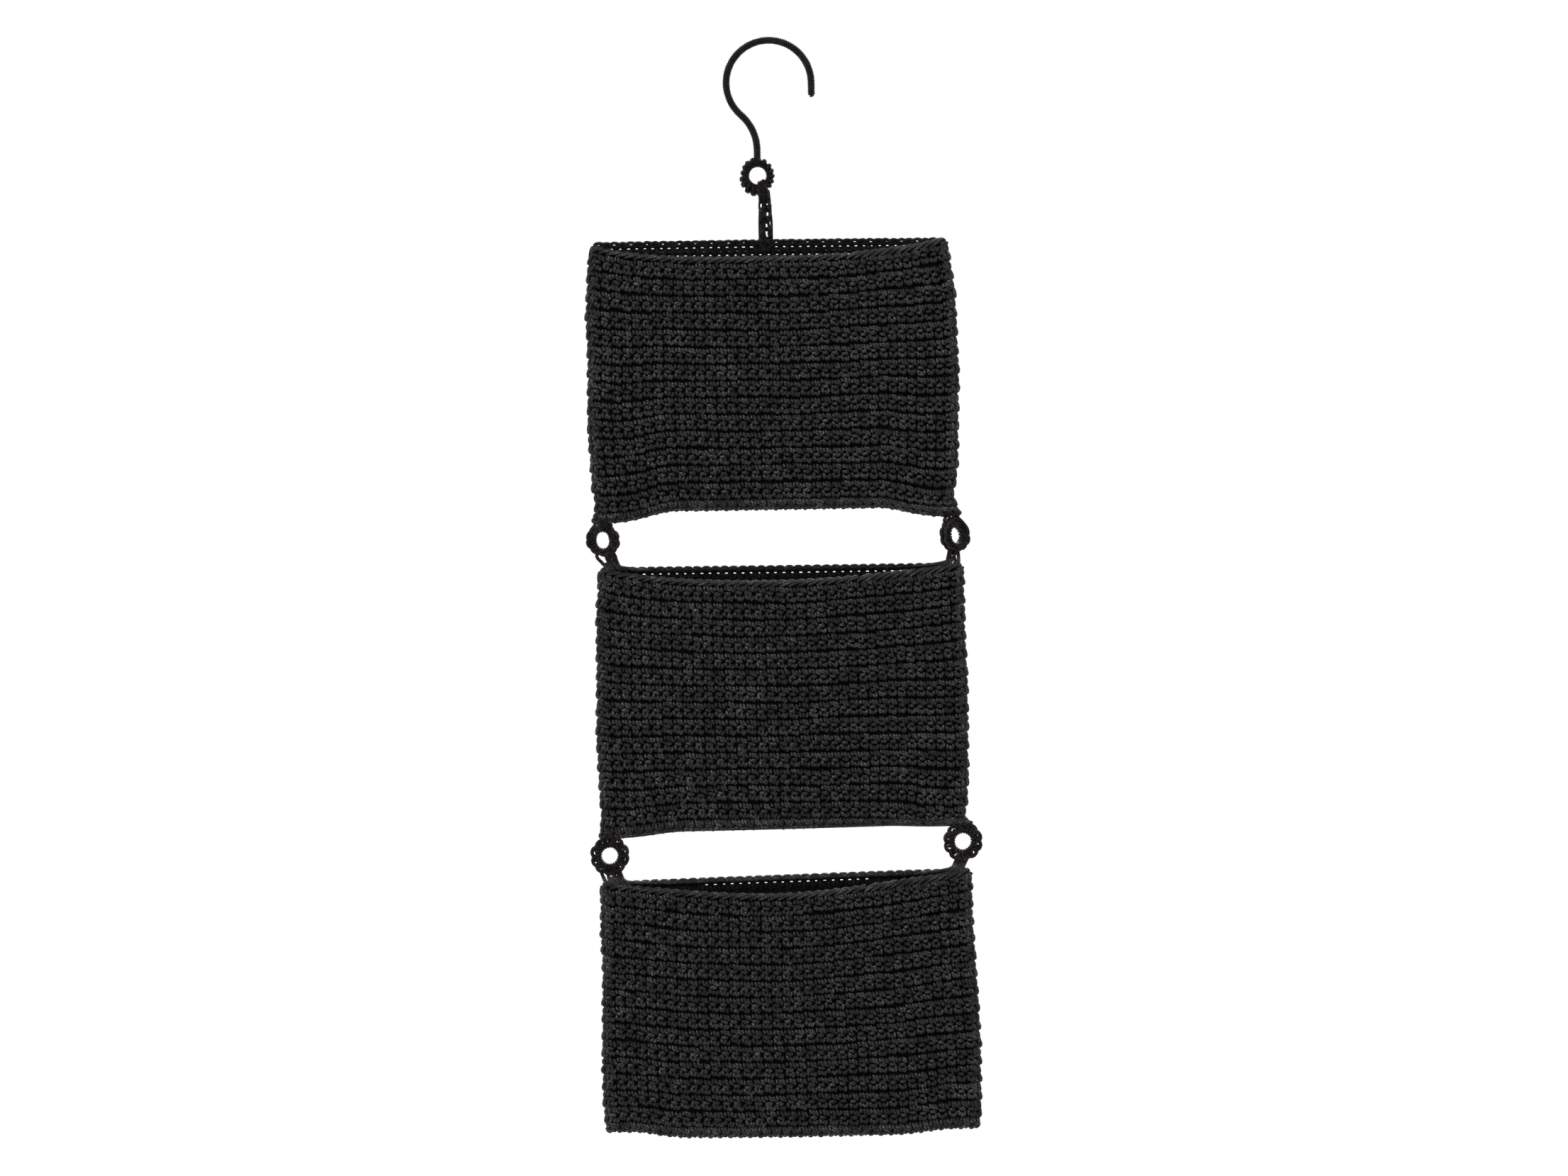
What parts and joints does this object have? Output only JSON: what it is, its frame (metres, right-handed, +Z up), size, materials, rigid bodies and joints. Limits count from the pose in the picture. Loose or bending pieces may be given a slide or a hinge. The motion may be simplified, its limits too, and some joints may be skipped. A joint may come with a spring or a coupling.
{
  "type": "hanging storage shelf",
  "caption": "Crocheted hanging organiser with open-topped flat pockets one under another, linked at the corners by covered rings, on a strap and a yarn-wrapped wire hook.",
  "frame": {"origin": "inside of the hook's crown, where the rail carries it", "axes": "+Z up, +X to the right seen from the front, +Y towards the wall behind; the pockets' mouths open upwards and bulge to -Y"},
  "size_m": [0.2714, 0.0317, 0.7752],
  "materials": {
    "steel_wire": "drawn steel wire, under the wrapping",
    "ring_plastic": "moulded black ring, under its cover",
    "wrapped_yarn": "black polyester cord wound tight round the wire",
    "crocheted_cord": "black twisted polyester cord, crocheted, with small satin glints",
    "crocheted_edging": "black twisted polyester cord, crocheted chain edges and seams"
  },
  "bodies": {
    "hook": {"hook_wire": "steel_wire", "hook_wrap": "wrapped_yarn", "hook_eye_cover": "crocheted_cord"},
    "strap_top": {"strap_loop": "crocheted_edging"},
    "strap": {"strap_left_chain": "crocheted_edging", "strap_right_chain": "crocheted_edging"},
    "upper_pocket": {"upper_pocket_back_panel": "crocheted_cord", "upper_pocket_front_panel": "crocheted_cord", "upper_pocket_back_rim": "crocheted_edging", "upper_pocket_front_rim": "crocheted_edging", "upper_pocket_bottom_seam": "crocheted_edging", "upper_pocket_left_side_seam": "crocheted_edging", "upper_pocket_right_side_seam": "crocheted_edging"},
    "upper_link": {"upper_left_ring_top_tie": "crocheted_edging", "upper_left_ring_bottom_tie": "crocheted_edging", "upper_right_ring_top_tie": "crocheted_edging", "upper_right_ring_bottom_tie": "crocheted_edging"},
    "upper_ring_left": {"upper_left_ring": "ring_plastic", "upper_left_ring_cover": "crocheted_cord"},
    "upper_ring_right": {"upper_right_ring": "ring_plastic", "upper_right_ring_cover": "crocheted_cord"},
    "middle_pocket": {"middle_pocket_left_tab": "crocheted_edging", "middle_pocket_right_tab": "crocheted_edging", "middle_pocket_back_panel": "crocheted_cord", "middle_pocket_front_panel": "crocheted_cord", "middle_pocket_back_rim": "crocheted_edging", "middle_pocket_front_rim": "crocheted_edging", "middle_pocket_bottom_seam": "crocheted_edging", "middle_pocket_left_side_seam": "crocheted_edging", "middle_pocket_right_side_seam": "crocheted_edging"},
    "lower_link": {"lower_left_ring_top_tie": "crocheted_edging", "lower_left_ring_bottom_tie": "crocheted_edging", "lower_right_ring_top_tie": "crocheted_edging", "lower_right_ring_bottom_tie": "crocheted_edging"},
    "lower_ring_left": {"lower_left_ring": "ring_plastic", "lower_left_ring_cover": "crocheted_cord"},
    "lower_ring_right": {"lower_right_ring": "ring_plastic", "lower_right_ring_cover": "crocheted_cord"},
    "lower_pocket": {"lower_pocket_left_tab": "crocheted_edging", "lower_pocket_right_tab": "crocheted_edging", "lower_pocket_back_panel": "crocheted_cord", "lower_pocket_front_panel": "crocheted_cord", "lower_pocket_back_rim": "crocheted_edging", "lower_pocket_front_rim": "crocheted_edging", "lower_pocket_bottom_seam": "crocheted_edging", "lower_pocket_left_side_seam": "crocheted_edging", "lower_pocket_right_side_seam": "crocheted_edging"}
  },
  "joints": [
    {"name": "strap_swing", "type": "hinge", "parent": "hook", "child": "strap_top", "pos_m": [-0.00641, 0, -0.09999], "axis": [1, 0, 0], "range_deg": [-80, 80]},
    {"name": "strap_twist", "type": "hinge", "parent": "strap_top", "child": "strap", "pos_m": [-0.00641, 0, -0.11199], "axis": [0, 0, 1], "range_deg": [-90, 90]},
    {"name": "upper_pocket_fold", "type": "hinge", "parent": "strap", "child": "upper_pocket", "pos_m": [-0.0044, 0.0019, -0.13934], "axis": [1, 0, 0], "range_deg": [-90, 90]},
    {"name": "upper_link_fold", "type": "hinge", "parent": "upper_pocket", "child": "upper_link", "pos_m": [0, 0, -0.33044], "axis": [-1, 0, 0], "range_deg": [-90, 90]},
    {"name": "upper_left_ring_turn", "type": "hinge", "parent": "upper_link", "child": "upper_ring_left", "pos_m": [-0.124, 0, -0.34829], "axis": [0, 0, 1], "range_deg": [-75, 75]},
    {"name": "upper_right_ring_turn", "type": "hinge", "parent": "upper_link", "child": "upper_ring_right", "pos_m": [0.124, 0, -0.34829], "axis": [0, 0, 1], "range_deg": [-132, 18]},
    {"name": "middle_pocket_fold", "type": "hinge", "parent": "upper_link", "child": "middle_pocket", "pos_m": [0, 0, -0.36499], "axis": [-1, 0, 0], "range_deg": [-90, 90]},
    {"name": "lower_link_fold", "type": "hinge", "parent": "middle_pocket", "child": "lower_link", "pos_m": [0, 0, -0.55064], "axis": [1, 0, 0], "range_deg": [-90, 90]},
    {"name": "lower_left_ring_turn", "type": "hinge", "parent": "lower_link", "child": "lower_ring_left", "pos_m": [-0.124, 0, -0.56849], "axis": [0, 0, 1], "range_deg": [-75, 75]},
    {"name": "lower_right_ring_turn", "type": "hinge", "parent": "lower_link", "child": "lower_ring_right", "pos_m": [0.124, 0, -0.56849], "axis": [0, 0, 1], "range_deg": [-75, 75]},
    {"name": "lower_pocket_fold", "type": "hinge", "parent": "lower_link", "child": "lower_pocket", "pos_m": [0, 0, -0.58369], "axis": [1, 0, 0], "range_deg": [-90, 90]}
  ]
}
